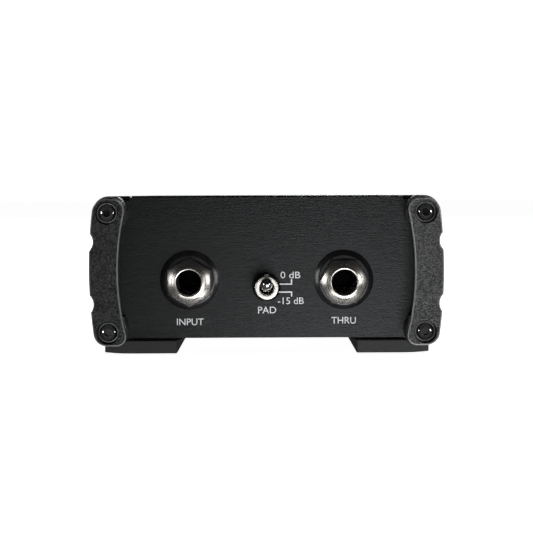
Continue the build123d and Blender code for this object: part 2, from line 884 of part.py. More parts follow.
def make_output():
    """Three-pin male output: cast shell, insulating insert, pins, screws and nuts."""
    face_reach = panel_reach + output_flange_thickness
    plane = face_plane(REAR, panel_reach)
    with BuildPart() as shell:
        with BuildSketch(plane) as flange:
            with Locations((0, output_height)):
                RectangleRounded(output_flange_width, output_flange_height, output_flange_corner)
        extrude(flange.sketch, amount=output_flange_thickness)
        chamfer(shell.faces().sort_by(Axis.Y)[-1].edges(), output_flange_chamfer)
        tube = (output_tube_inner_reach, panel_reach + 0.5)
        rod(REAR, 0, output_height, output_tube_radius, tube)
        cavity = (output_tube_inner_reach, face_reach)
        rod(REAR, 0, output_height, output_cavity_radius, cavity, Mode.SUBTRACT)
        turn(
            axis_plane(REAR, 0, output_height),
            (
                (0, face_reach - output_mouth),
                (output_cavity_radius, face_reach - output_mouth),
                (output_cavity_radius + output_mouth, face_reach),
                (0, face_reach),
            ),
            Mode.SUBTRACT,
        )
        seat = (output_tube_inner_reach, output_insert_reach)
        rod(REAR, 0, output_height, output_insert_radius + slot_gap, seat, Mode.SUBTRACT)
        key_top = output_height + output_cavity_radius + 0.5
        block(
            (-output_key_half_width, output_insert_reach, key_top - output_key_depth),
            (output_key_half_width, face_reach - output_key_setback, key_top),
        )
        for x, z in output_screw_spots:
            turn(
                axis_plane(REAR, x, output_height + z),
                (
                    (0, panel_reach),
                    (m3_clearance_radius, panel_reach),
                    (m3_clearance_radius, face_reach - output_screw_head_depth),
                    (m3_clearance_radius + output_screw_head_depth, face_reach),
                    (0, face_reach),
                ),
                Mode.SUBTRACT,
            )
    save(shell, "output_shell")

    with BuildPart() as insert:
        rod(REAR, 0, output_height, output_insert_radius, seat)
        for x, z in output_pin_spots:
            rod(REAR, x, z, output_pin_radius + slot_gap, seat, Mode.SUBTRACT)
    save(insert, "output_insert")

    cup_floor = output_pin_inner_reach + output_cup_depth
    collar_start = output_tube_inner_reach - output_collar_length
    with BuildPart() as pins:
        for x, z in output_pin_spots:
            turn(
                axis_plane(REAR, x, z),
                (
                    (0, cup_floor),
                    (output_cup_radius, cup_floor),
                    (output_cup_radius, output_pin_inner_reach),
                    (output_pin_radius, output_pin_inner_reach),
                    (output_pin_radius, collar_start),
                    (output_collar_radius, collar_start),
                    (output_collar_radius, output_tube_inner_reach),
                    (output_pin_radius, output_tube_inner_reach),
                    (output_pin_radius, output_pin_reach - 0.9),
                    (output_pin_radius - 0.5, output_pin_reach - 0.2),
                    (0, output_pin_reach),
                ),
            )
    save(pins, "output_pins")

    nut_inner_reach = panel_inner_reach - output_nut_thickness
    with BuildPart() as screws:
        for x, z in output_screw_spots:
            turn(
                axis_plane(REAR, x, output_height + z),
                (
                    (0, nut_inner_reach - output_screw_tail),
                    (m3_radius, nut_inner_reach - output_screw_tail),
                    (m3_radius, face_reach - output_screw_head_depth),
                    (output_screw_head_radius, face_reach),
                    (0, face_reach),
                ),
            )
            with BuildSketch(face_plane(REAR, face_reach - cross_depth)) as cross:
                with Locations((-x, output_height + z)):
                    Rectangle(cross_length, cross_width)
                    Rectangle(cross_width, cross_length)
            extrude(cross.sketch, amount=2 * cross_depth, mode=Mode.SUBTRACT)
    save(screws, "output_screws")

    with BuildPart() as nuts:
        for x, z in output_screw_spots:
            with BuildSketch(face_plane(REAR, nut_inner_reach)) as hexagon:
                with Locations((-x, output_height + z)):
                    RegularPolygon(output_nut_flats / 2, 6, major_radius=False)
                    Circle(m3_radius + slot_gap, mode=Mode.SUBTRACT)
            extrude(hexagon.sketch, amount=output_nut_thickness)
    save(nuts, "output_screw_nuts")

    with BuildPart() as wires:
        for x, z in output_pin_spots:
            start = (x, output_pin_inner_reach + 1.0, z)
            corner = (x, output_wire_y, z)
            end = (x, output_wire_y, board_top)
            with BuildLine() as route:
                FilletPolyline(start, corner, end, radius=output_wire_bend)
            with BuildSketch(Plane(origin=start, z_dir=(0, -1, 0))) as section:
                Circle(output_wire_radius)
            sweep(section.sketch, path=route.line)
    save(wires, "output_wires")


# ---------------------------------------------------------------- board and components


def make_board():
    """Circuit board on four standoffs, drilled for every lead that passes through it."""
    with BuildPart() as board:
        block(
            (-board_half_width, board_front_y, board_bottom),
            (board_half_width, board_rear_y, board_top),
        )
        through = (board_bottom, board_top)
        for x, y in board_screw_spots:
            post(x, y, foot_screw_radius + board_clearance, through, Mode.SUBTRACT)
        for x, y in round_lead_spots():
            post(x, y, lead_hole_radius, through, Mode.SUBTRACT)
        for x, y, width, depth in blade_spots():
            half_x = width / 2 + board_clearance
            half_y = depth / 2 + board_clearance
            block(
                (x - half_x, y - half_y, board_bottom),
                (x + half_x, y + half_y, board_top),
                Mode.SUBTRACT,
            )
    save(board, "circuit_board")
    with BuildPart() as standoffs:
        for x, y in board_screw_spots:
            post(x, y, standoff_radius, (base_top, board_bottom))
            post(x, y, foot_screw_radius + slot_gap, (base_top, board_bottom), Mode.SUBTRACT)
    save(standoffs, "board_standoffs")
    head_top = board_top + board_head_height
    with BuildPart() as screws:
        for x, y in board_screw_spots:
            post(x, y, foot_screw_radius, (board_screw_low, board_top))
            post(x, y, board_head_radius, (board_top, head_top))
            block(
                (x - board_slot_half_length, y - board_slot_half_width, head_top - board_slot_depth),
                (x + board_slot_half_length, y + board_slot_half_width, head_top + 1),
                Mode.SUBTRACT,
            )
    save(screws, "board_screws")


def round_lead_spots():
    """Centres of the round leads: transformer, resistors and capacitor."""
    spots = list(transformer_pin_spots)
    for x, y in resistor_spots:
        spots += [(x - resistor_lead_half_span, y), (x + resistor_lead_half_span, y)]
    x, y = capacitor_spot
    spots += [(x, y - capacitor_lead_half_span), (x, y + capacitor_lead_half_span)]
    return spots


def blade_spots():
    """Centres and sizes of the flat leads: jack springs and switch terminals."""
    spots = []
    for x in (-jack_x, jack_x):
        for reach in spring_leg_reaches:
            spots.append((x, -reach, spring_width, spring_thickness))
    for reach in terminal_leg_reaches:
        spots.append((0.0, -reach, terminal_width, terminal_thickness))
        spots.append((lift_switch_x, reach, terminal_width, terminal_thickness))
    return spots


def make_transformer():
    """Audio transformer: stacked core, bobbin, winding and pins."""
    y_low = transformer_y - core_half_stack
    y_high = transformer_y + core_half_stack
    window_bottom = core_bottom + (core_height - core_window_height) / 2
    window_top = window_bottom + core_window_height
    leg = core_leg_half_width
    window = leg + core_window_width
    with BuildPart() as core:
        block(
            (-core_half_width, y_low, core_bottom),
            (core_half_width, y_high, core_bottom + core_height),
        )
        for x_low in (-window, leg):
            block(
                (x_low, y_low, window_bottom),
                (x_low + core_window_width, y_high, window_top),
                Mode.SUBTRACT,
            )
        hole_x = core_half_width - core_hole_inset
        hole_heights = (core_bottom + core_hole_inset, core_bottom + core_height - core_hole_inset)
        for x in (-hole_x, hole_x):
            for z in hole_heights:
                through = (-half_length, half_length)
                rod(FRONT, x, z, core_hole_radius, through, Mode.SUBTRACT)
    save(core, "transformer_core")

    gap = bobbin_gap
    wall = bobbin_wall
    reach = core_half_stack + gap
    outer = bobbin_flange
    with BuildPart() as bobbin:
        for z_low, z_high, spread in (
            (window_bottom + gap, window_bottom + wall + gap, outer),
            (window_top - wall - gap, window_top - gap, outer),
            (window_bottom + gap, window_top - gap, wall),
        ):
            block(
                (-leg - gap - spread, transformer_y - reach - spread, z_low),
                (leg + gap + spread, transformer_y + reach + spread, z_high),
            )
        block(
            (-leg - gap, transformer_y - reach, core_bottom),
            (leg + gap, transformer_y + reach, core_bottom + core_height),
            Mode.SUBTRACT,
        )
        for side in (-1, 1):
            low_y, high_y = sorted(transformer_y + side * depth for depth in bobbin_foot_depths)
            block(
                (-bobbin_foot_half_width, low_y, board_top),
                (bobbin_foot_half_width, high_y, window_bottom + gap + wall),
            )
        socket_span = (board_top, board_top + bobbin_socket_depth)
        for x, y in transformer_pin_spots:
            post(x, y, lead_radius + slot_gap, socket_span, Mode.SUBTRACT)
    save(bobbin, "transformer_bobbin")

    wound = winding_depth
    with BuildPart() as winding:
        low_z = window_bottom + wall + 2 * gap
        high_z = window_top - wall - 2 * gap
        block(
            (-leg - gap - wound, transformer_y - reach - wound, low_z),
            (leg + gap + wound, transformer_y + reach + wound, high_z),
        )
        fillet(winding.edges().filter_by(Axis.Z), winding_corner)
        block(
            (-leg - wall - 2 * gap, transformer_y - reach - wall - gap, low_z),
            (leg + wall + 2 * gap, transformer_y + reach + wall + gap, high_z),
            Mode.SUBTRACT,
        )
    save(winding, "transformer_winding")

    with BuildPart() as pins:
        for x, y in transformer_pin_spots:
            post(x, y, lead_radius, (lead_end, board_top + transformer_pin_depth))
    save(pins, "transformer_pins")


def make_small_components():
    """Pad and lift resistors and the lift capacitor."""
    body_height = board_top + resistor_radius + component_lift
    with BuildPart() as resistors:
        for x, y in resistor_spots:
            with BuildSketch(Plane(origin=(x, y, body_height), z_dir=(1, 0, 0))) as section:
                Circle(resistor_radius)
            extrude(section.sketch, amount=resistor_half_length, both=True)
            with BuildLine() as lead:
                FilletPolyline(
                    (x - resistor_lead_half_span, y, lead_end),
                    (x - resistor_lead_half_span, y, body_height),
                    (x + resistor_lead_half_span, y, body_height),
                    (x + resistor_lead_half_span, y, lead_end),
                    radius=resistor_bend,
                )
            with BuildSketch(Plane.XY.offset(lead_end)) as wire:
                with Locations((x - resistor_lead_half_span, y)):
                    Circle(component_lead_radius)
            sweep(wire.sketch, path=lead.line)
    save(resistors, "pad_resistors")
    with BuildPart() as capacitor:
        x, y = capacitor_spot
        half_x, half_y = capacitor_half_size
        block(
            (x - half_x, y - half_y, board_top + component_lift),
            (x + half_x, y + half_y, board_top + component_lift + capacitor_height),
        )
        fillet(capacitor.edges().filter_by(Axis.Z), capacitor_corner)
        for lead_y in (y - capacitor_lead_half_span, y + capacitor_lead_half_span):
            post(x, lead_y, component_lead_radius, (lead_end, board_top + 2 * component_lift))
    save(capacitor, "lift_capacitor")


os.makedirs("parts", exist_ok=True)
make_rails()
make_cover_and_base()
make_panels()
make_bumpers()
make_bumper_screws(FRONT, "front_bumper_screws")
make_bumper_screws(REAR, "rear_bumper_screws")
make_feet()
make_jack(-jack_x, 30, "input_jack")
make_jack(jack_x, 0, "thru_jack")
make_toggle(FRONT, 0, pad_switch_height, "pad_switch")
make_toggle(REAR, lift_switch_x, lift_switch_height, "lift_switch")
make_output()
make_board()
make_transformer()
make_small_components()
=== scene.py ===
"""Looks of the direct injection box: finely made hardware, legends, materials and studio."""
import json
import math

import bmesh
import bpy
from mathutils import Matrix, Vector


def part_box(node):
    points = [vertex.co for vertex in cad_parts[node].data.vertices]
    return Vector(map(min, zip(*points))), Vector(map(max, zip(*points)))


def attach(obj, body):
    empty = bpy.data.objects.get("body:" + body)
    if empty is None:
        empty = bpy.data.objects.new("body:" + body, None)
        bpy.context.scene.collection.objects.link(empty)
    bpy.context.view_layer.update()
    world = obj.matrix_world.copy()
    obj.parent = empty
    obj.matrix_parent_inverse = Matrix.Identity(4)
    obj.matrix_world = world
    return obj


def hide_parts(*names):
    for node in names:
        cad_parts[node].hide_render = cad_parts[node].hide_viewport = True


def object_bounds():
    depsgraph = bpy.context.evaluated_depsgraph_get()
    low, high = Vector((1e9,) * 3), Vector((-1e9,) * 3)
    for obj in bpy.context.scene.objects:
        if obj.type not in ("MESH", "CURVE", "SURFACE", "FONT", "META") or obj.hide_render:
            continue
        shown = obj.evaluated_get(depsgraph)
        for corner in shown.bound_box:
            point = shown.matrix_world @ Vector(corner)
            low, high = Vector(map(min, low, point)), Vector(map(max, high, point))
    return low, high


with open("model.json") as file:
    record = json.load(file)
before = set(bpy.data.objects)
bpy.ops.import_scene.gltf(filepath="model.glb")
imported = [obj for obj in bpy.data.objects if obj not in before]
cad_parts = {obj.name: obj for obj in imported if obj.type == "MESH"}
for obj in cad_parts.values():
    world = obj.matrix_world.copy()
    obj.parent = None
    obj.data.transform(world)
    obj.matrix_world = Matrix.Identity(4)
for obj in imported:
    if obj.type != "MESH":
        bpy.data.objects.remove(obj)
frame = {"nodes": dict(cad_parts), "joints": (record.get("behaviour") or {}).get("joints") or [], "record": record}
cad_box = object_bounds()
nodes = frame["nodes"]
MM = 0.001
FRONT = -1
REAR = 1
HEX_HALF = math.pi / 6
panel_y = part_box("front_panel")[0].y
top_z = cad_box[1].z
panel_middle = Vector((0, panel_y, top_z / 2))
legend_thickness = 0.012 * MM
floor_glow = 0.97
room_above = 0.012
room_below = 0.09


# ---------------------------------------------------------------- mesh helpers


def centre_of(node):
    """Middle of a CAD node's box."""
    low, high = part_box(node)
    return (low + high) / 2


def make_object(name, bm, smooth_angle=35):
    """Turn a bmesh into an object with smooth faces and crisp corners."""
    bmesh.ops.recalc_face_normals(bm, faces=bm.faces)
    mesh = bpy.data.meshes.new(name)
    bm.to_mesh(mesh)
    bm.free()
    obj = bpy.data.objects.new(name, mesh)
    bpy.context.scene.collection.objects.link(obj)
    for face in mesh.polygons:
        face.use_smooth = True
    limit = math.radians(smooth_angle)
    sharp = bmesh.new()
    sharp.from_mesh(mesh)
    for edge in sharp.edges:
        if len(edge.link_faces) == 2 and edge.calc_face_angle(0) > limit:
            edge.smooth = False
    sharp.to_mesh(mesh)
    sharp.free()
    return obj


def axis_point(origin, end, radius, angle, reach):
    """Point at a radius and angle round an axis along y; reach is its distance from y = 0."""
    return Vector(
        (
            origin.x + radius * math.cos(angle),
            end * reach,
            origin.z + radius * math.sin(angle),
        )
    )


def arc_points(centre, radius, start, stop, count):
    """Points of a circular arc in (radius, reach) space, angles in degrees."""
    points = []
    for i in range(count + 1):
        a = math.radians(start + (stop - start) * i / count)
        points.append((centre[0] + radius * math.cos(a), centre[1] + radius * math.sin(a)))
    return points


def add_ring(bm, origin, end, steps, radius, reach, limit=None):
    """Ring of vertices round an axis along y; limit(angle) caps the radius."""
    ring = []
    for i in range(steps):
        angle = 2 * math.pi * i / steps
        r = min(radius, limit(angle)) if limit else radius
        ring.append(bm.verts.new(axis_point(origin, end, r, angle, reach)))
    return ring


def lathe(name, origin, end, profile, steps=128, limit=None, closed=True):
    """Revolve (radius, reach) points about y; an open profile gets its two ends capped."""
    bm = bmesh.new()
    rings = [add_ring(bm, origin, end, steps, *point, limit) for point in profile]
    count = len(rings)
    pairs = [(i, (i + 1) % count) for i in range(count if closed else count - 1)]
    for a, b in pairs:
        for i in range(steps):
            j = (i + 1) % steps
            quad = (rings[a][i], rings[a][j], rings[b][j], rings[b][i])
            bm.faces.new(quad)
    if not closed:
        for ring in (rings[0], rings[-1]):
            bm.faces.new(ring)
    bmesh.ops.remove_doubles(bm, verts=bm.verts, dist=1e-7)
    bmesh.ops.dissolve_degenerate(bm, dist=1e-8, edges=bm.edges)
    return make_object(name, bm)


def hexagon_limit(across_flats, turn):
    """Radius of a hexagon's outline at each angle; turn is where a flat faces, in degrees."""
    def limit(angle):
        local = (angle - math.radians(turn) + HEX_HALF) % (math.pi / 3) - HEX_HALF
        return across_flats / 2 / math.cos(local)
    return limit


def mesh_from_text(name, body, size, place):
    """Thin raised text from the built-in font, as a mesh moved by a matrix."""
    curve = bpy.data.curves.new(name, "FONT")
    curve.body = body
    curve.size = size
    curve.align_x = "CENTER"
    curve.align_y = "CENTER"
    curve.extrude = legend_thickness
    curve.resolution_u = 6
    source = bpy.data.objects.new(name + "_source", curve)
    bpy.context.scene.collection.objects.link(source)
    bpy.context.view_layer.update()
    mesh = bpy.data.meshes.new_from_object(source)
    bpy.data.objects.remove(source)
    mesh.transform(place)
    mesh.name = name
    obj = bpy.data.objects.new(name, mesh)
    bpy.context.scene.collection.objects.link(obj)
    return obj


# ---------------------------------------------------------------- materials


class Graph:
    """Small wrapper that builds a Principled material from named nodes."""

    def __init__(self, name):
        self.material = bpy.data.materials.new(name)
        self.material.use_nodes = True
        self.tree = self.material.node_tree
        self.shader = self.tree.nodes["Principled BSDF"]
        self.coords = self.tree.nodes.new("ShaderNodeTexCoord").outputs["Object"]

    def node(self, kind, **values):
        made = self.tree.nodes.new(kind)
        for key, value in values.items():
            if key in made.inputs:
                made.inputs[key].default_value = value
            else:
                setattr(made, key, value)
        return made

    def link(self, source, target):
        self.tree.links.new(source, target)

    def mapped(self, scale):
        mapping = self.node("ShaderNodeMapping")
        mapping.inputs["Scale"].default_value = scale
        self.link(self.coords, mapping.inputs["Vector"])
        return mapping.outputs["Vector"]

    def noise(self, scale, stretch=(1, 1, 1), detail=4.0, roughness=0.55):
        made = self.node("ShaderNodeTexNoise", Scale=scale, Detail=detail, Roughness=roughness)
        self.link(self.mapped(stretch), made.inputs["Vector"])
        return made.outputs["Fac"]

    def cells(self, scale):
        made = self.node("ShaderNodeTexVoronoi", Scale=scale)
        self.link(self.mapped((1, 1, 1)), made.inputs["Vector"])
        return made.outputs["Distance"]

    def remap(self, value, low, high, from_low=0.3, from_high=0.7):
        made = self.node("ShaderNodeMapRange")
        made.inputs["From Min"].default_value = from_low
        made.inputs["From Max"].default_value = from_high
        made.inputs["To Min"].default_value = low
        made.inputs["To Max"].default_value = high
        self.link(value, made.inputs["Value"])
        return made.outputs["Result"]

    def math(self, operation, a, b):
        made = self.node("ShaderNodeMath", operation=operation)
        for socket, value in zip(made.inputs, (a, b)):
            if isinstance(value, (int, float)):
                socket.default_value = value
            else:
                self.link(value, socket)
        return made.outputs["Value"]

    def mix(self, factor, a, b):
        """Mix two colours; the node has a like-named socket per type, so these go by number."""
        first, second, result = 6, 7, 2
        made = self.node("ShaderNodeMix", data_type="RGBA")
        sockets = made.inputs
        self.link(factor, sockets["Factor"])
        for socket, value in ((sockets[first], a), (sockets[second], b)):
            if isinstance(value, tuple):
                socket.default_value = (*value, 1)
            else:
                self.link(value, socket)
        return made.outputs[result]

    def bumps(self, layers, rounding=None):
        """Stack bump layers of (height, strength, distance), over softened edges if asked."""
        normal = None
        if rounding:
            bevel = self.node("ShaderNodeBevel", samples=6)
            bevel.inputs["Radius"].default_value = rounding
            normal = bevel.outputs["Normal"]
        for height, strength, distance in layers:
            bump = self.node("ShaderNodeBump", Strength=strength, Distance=distance)
            self.link(height, bump.inputs["Height"])
            if normal:
                self.link(normal, bump.inputs["Normal"])
            normal = bump.outputs["Normal"]
        self.link(normal, self.shader.inputs["Normal"])

    def set(self, **values):
        for key, value in values.items():
            socket = self.shader.inputs[key.replace("_", " ")]
            if isinstance(value, (int, float)):
                socket.default_value = value
            elif isinstance(value, tuple):
                socket.default_value = (*value, 1)
            else:
                self.link(value, socket)

    def facing(self, low, rise, fall, high):
        """Mask by the size of the normal's y part: up from low to rise, down from fall to high."""
        geometry = self.node("ShaderNodeNewGeometry")
        split = self.node("ShaderNodeSeparateXYZ")
        self.link(geometry.outputs["True Normal"], split.inputs["Vector"])
        along = self.math("ABSOLUTE", split.outputs["Y"], 0.0)
        rises = self.remap(along, 0.0, 1.0, low, rise)
        falls = self.remap(along, 1.0, 0.0, fall, high)
        return self.math("MULTIPLY", rises, falls)


def brushed_panel():
    """Black anodised sheet with a fine horizontal grain."""
    g = Graph("brushed_panel")
    strands = g.noise(1.0, (220, 220, 3800), detail=3.0)
    grain = g.noise(1.0, (1500, 1500, 5200), detail=2.0)
    cloud = g.noise(35.0, detail=2.0)
    tone = g.mix(g.remap(strands, 0, 1), (0.0004, 0.0008, 0.0006), (0.0048, 0.006, 0.0054))
    g.set(Base_Color=g.mix(g.remap(cloud, 0, 0.3), tone, (0.0034, 0.0041, 0.0038)))
    g.set(Roughness=g.remap(grain, 0.42, 0.5), Specular_IOR_Level=0.4)
    g.bumps([(strands, 1.0, 0.00007), (grain, 1.0, 0.00012)], rounding=0.00012)
    return g.material


def cast_metal():
    """Charcoal powder coat over a sand-cast grain, with a painted highlight along its edges."""
    g = Graph("cast_metal")
    pits = g.cells(2600.0)
    lumps = g.noise(3300.0, detail=2.0, roughness=0.6)
    cloud = g.noise(260.0, detail=3.0)
    speckle = g.remap(lumps, 0, 1, 0.44, 0.58)
    tone = g.mix(speckle, (0.001, 0.0012, 0.0011), (0.05, 0.051, 0.0508))
    tone = g.mix(g.remap(cloud, 0, 0.25), tone, (0.009, 0.009, 0.0092))
    # Painted highlight: faces tilted between front and side (the bevels) get a light grey that stands in for the
    # light the edges catch.
    bevels = g.facing(0.35, 0.5, 0.9, 0.97)
    wear_and_painted_edge_highlight = g.math("MULTIPLY", bevels, 0.9)
    g.set(Base_Color=g.mix(wear_and_painted_edge_highlight, tone, (0.19, 0.193, 0.193)))
    g.set(Roughness=g.remap(lumps, 0.42, 0.62), Specular_IOR_Level=0.5)
    g.bumps([(lumps, 1.0, 0.0007), (pits, 0.6, 0.00015)], rounding=0.00012)
    return g.material


def extruded_rail():
    """Black anodised extrusion with die lines running front to back."""
    g = Graph("extruded_rail")
    lines = g.noise(1.0, (2600, 40, 2600), detail=3.0)
    cloud = g.noise(60.0, detail=2.0)
    tone = g.mix(g.remap(lines, 0, 1), (0.026, 0.026, 0.027), (0.045, 0.045, 0.046))
    g.set(Base_Color=g.mix(g.remap(cloud, 0, 0.3), tone, (0.06, 0.06, 0.061)))
    g.set(Metallic=0.4, Roughness=g.remap(lines, 0.38, 0.52))
    g.bumps([(lines, 0.2, 0.00004)], rounding=0.00015)
    return g.material


def powder_coat():
    """Near-black powder coat with orange peel and fine specks."""
    g = Graph("powder_coat")
    peel = g.noise(900.0, detail=3.0)
    speck = g.cells(3000.0)
    cloud = g.noise(40.0, detail=2.0)
    tone = g.mix(g.remap(cloud, 0, 1), (0.012, 0.012, 0.0125), (0.02, 0.02, 0.021))
    g.set(Base_Color=tone, Roughness=g.remap(peel, 0.42, 0.58))
    g.bumps([(peel, 0.35, 0.00006), (speck, 0.15, 0.00003)], rounding=0.0002)
    return g.material


def moulded_rubber():
    """Dark rubber with the fine spark-eroded grain of its mould."""
    g = Graph("moulded_rubber")
    grain = g.noise(2200.0, detail=4.0, roughness=0.6)
    cloud = g.noise(120.0, detail=2.0)
    tone = g.mix(g.remap(grain, 0, 1), (0.01, 0.01, 0.0102), (0.026, 0.0265, 0.0265))
    g.set(Base_Color=g.mix(g.remap(cloud, 0, 0.4), tone, (0.014, 0.014, 0.0142)))
    g.set(Roughness=g.remap(grain, 0.6, 0.78), Specular_IOR_Level=0.32)
    g.bumps([(grain, 0.6, 0.00008)], rounding=0.00025)
    return g.material


def plated(name, tint, rough_low, rough_high, scratch=0.08, tarnish=None):
    """Plated metal with faint turning marks, smudges and optional tarnish."""
    g = Graph(name)
    smudge = g.noise(260.0, detail=1.0)
    fine = g.noise(2400.0, detail=3.0)
    smudged = 0.82
    darker = tuple(c * smudged for c in tint)
    tone = g.mix(g.remap(smudge, 0, 1), tint, darker)
    if tarnish:
        spots = g.noise(420.0, detail=1.0)
        tone = g.mix(g.remap(spots, 0, 0.3, 0.5, 0.75), tone, tarnish)
    g.set(Base_Color=tone, Metallic=1.0, Roughness=g.remap(smudge, rough_low, rough_high))
    g.bumps([(fine, scratch, 0.000002)])
    return g.material


def black_oxide():
    """Oiled black steel of the screws, with a painted highlight on the nearly flat flange."""
    g = Graph("black_oxide")
    mottle = g.noise(900.0, detail=3.0)
    tone = g.mix(g.remap(mottle, 0, 1), (0.012, 0.0125, 0.0124), (0.018, 0.0185, 0.0184))
    # Painted highlight: the nearly flat flange ring gets a light grey that stands in for the bright rim it
    # reflects.
    flange = g.facing(0.96, 0.975, 0.993, 0.998)
    g.set(Base_Color=g.mix(flange, tone, (0.12, 0.122, 0.123)))
    g.set(Roughness=g.remap(mottle, 0.1, 0.13), Specular_IOR_Level=0.6)
    g.bumps([(mottle, 0.02, 0.00001)])
    return g.material


def glossy_black():
    """Black-plated washer with faint turning marks."""
    g = Graph("glossy_black")
    smudge = g.noise(300.0, detail=3.0)
    fine = g.noise(2600.0, detail=2.0)
    tone = g.mix(g.remap(smudge, 0, 1), (0.004, 0.004, 0.0045), (0.008, 0.008, 0.009))
    g.set(Base_Color=tone, Roughness=g.remap(fine, 0.2, 0.27), Specular_IOR_Level=0.5)
    g.bumps([(fine, 0.03, 0.00002)])
    return g.material


def moulded_plastic(name, dark, light):
    """Moulded plastic with a faint grain."""
    g = Graph(name)
    grain = g.noise(1200.0, detail=3.0)
    g.set(Base_Color=g.mix(g.remap(grain, 0, 1), dark, light))
    g.set(Roughness=g.remap(grain, 0.4, 0.55))
    g.bumps([(grain, 0.2, 0.00004)], rounding=0.0001)
    return g.material


def legend_ink():
    """Slightly worn screen-printed ink."""
    g = Graph("legend_ink")
    wear_and_painted_edge_highlight = g.noise(1800.0, detail=3.0)
    g.set(Base_Color=g.mix(g.remap(wear_and_painted_edge_highlight, 0, 1), (0.66, 0.67, 0.67), (0.5, 0.51, 0.51)))
    g.set(Roughness=g.remap(wear_and_painted_edge_highlight, 0.5, 0.65))
    g.bumps([(wear_and_painted_edge_highlight, 0.15, 0.00002)])
    return g.material


def laminated_core():
    """Edges of stacked transformer sheets."""
    g = Graph("laminated_core")
    sheets = g.noise(1.0, (60, 2800, 60), detail=1.0)
    g.set(Base_Color=g.mix(g.remap(sheets, 0, 1), (0.1, 0.09, 0.085), (0.3, 0.29, 0.28)))
    g.set(Metallic=0.8, Roughness=g.remap(sheets, 0.35, 0.6))
    g.bumps([(sheets, 0.6, 0.0001)], rounding=0.0001)
    return g.material


def floor_material():
    """Matt white paper over a light table."""
    g = Graph("studio_paper")
    fibre = g.noise(900.0, detail=4.0)
    g.set(Base_Color=g.mix(g.remap(fibre, 0, 1), (0.86, 0.86, 0.86), (0.84, 0.84, 0.84)))
    g.set(Roughness=g.remap(fibre, 0.85, 0.95), Specular_IOR_Level=0.1)
    g.set(Emission_Color=(1.0, 1.0, 1.0), Emission_Strength=floor_glow)
    g.bumps([(fibre, 0.05, 0.00002)])
    return g.material


materials = {
    "panel_black": brushed_panel(),
    "cast_black": cast_metal(),
    "rail_black": extruded_rail(),
    "cover_black": powder_coat(),
    "foot_rubber": moulded_rubber(),
    "black_steel": black_oxide(),
    "nickel": plated(
        "nickel", (0.74, 0.71, 0.66), 0.25, 0.29, scratch=0.02, tarnish=(0.6, 0.53, 0.43)
    ),
    "black_nickel": glossy_black(),
    "chrome": plated("chrome", (0.74, 0.74, 0.75), 0.06, 0.12, scratch=0.04),
    "shell_nickel": plated("shell_nickel", (0.5, 0.49, 0.47), 0.26, 0.38),
    "contact_brass": plated("contact_brass", (0.76, 0.62, 0.36), 0.2, 0.34),
    "zinc_steel": plated("zinc_steel", (0.6, 0.6, 0.58), 0.25, 0.4),
    "housing_plastic": moulded_plastic("housing_plastic", (0.012,) * 3, (0.022,) * 3),
    "insert_plastic": moulded_plastic("insert_plastic", (0.01,) * 3, (0.018,) * 3),
    "wire_insulation": moulded_plastic("wire_insulation", (0.4, 0.03, 0.02), (0.55, 0.05, 0.04)),
    "board_laminate": moulded_plastic("board_laminate", (0.01, 0.09, 0.035), (0.02, 0.16, 0.06)),
    "core_steel": laminated_core(),
    "bobbin_nylon": moulded_plastic("bobbin_nylon", (0.6, 0.58, 0.5), (0.72, 0.7, 0.62)),
    "winding_tape": moulded_plastic("winding_tape", (0.55, 0.38, 0.05), (0.7, 0.5, 0.08)),
    "resistor_lacquer": moulded_plastic("resistor_lacquer", (0.05, 0.2, 0.36), (0.08, 0.28, 0.45)),
    "capacitor_case": moulded_plastic("capacitor_case", (0.4, 0.05, 0.02), (0.5, 0.08, 0.04)),
}
ink = legend_ink()


def paint(obj, material):
    """Give a whole object one material."""
    obj.data.materials.clear()
    obj.data.materials.append(material)


def add_piece(obj, body, slot_name, *replaced):
    """Paint a new piece with its slot's material, make it ride and hide what it stands for."""
    paint(obj, materials[slot_name])
    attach(obj, body)
    if replaced:
        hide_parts(*replaced)


def paint_frame():
    """Every CAD node gets its slot's material."""
    for entry in frame["record"]["subparts"]:
        obj = nodes[entry["node"]]
        paint(obj, materials[entry["material_slot"]])


# ---------------------------------------------------------------- jacks


def dome_reach(radius, crown_radius, crown_reach, ball):
    """Reach at a radius of a spherical crown, which has crown_reach at crown_radius."""
    rise = math.sqrt(ball**2 - crown_radius**2)
    return crown_reach - rise + math.sqrt(ball**2 - radius**2)


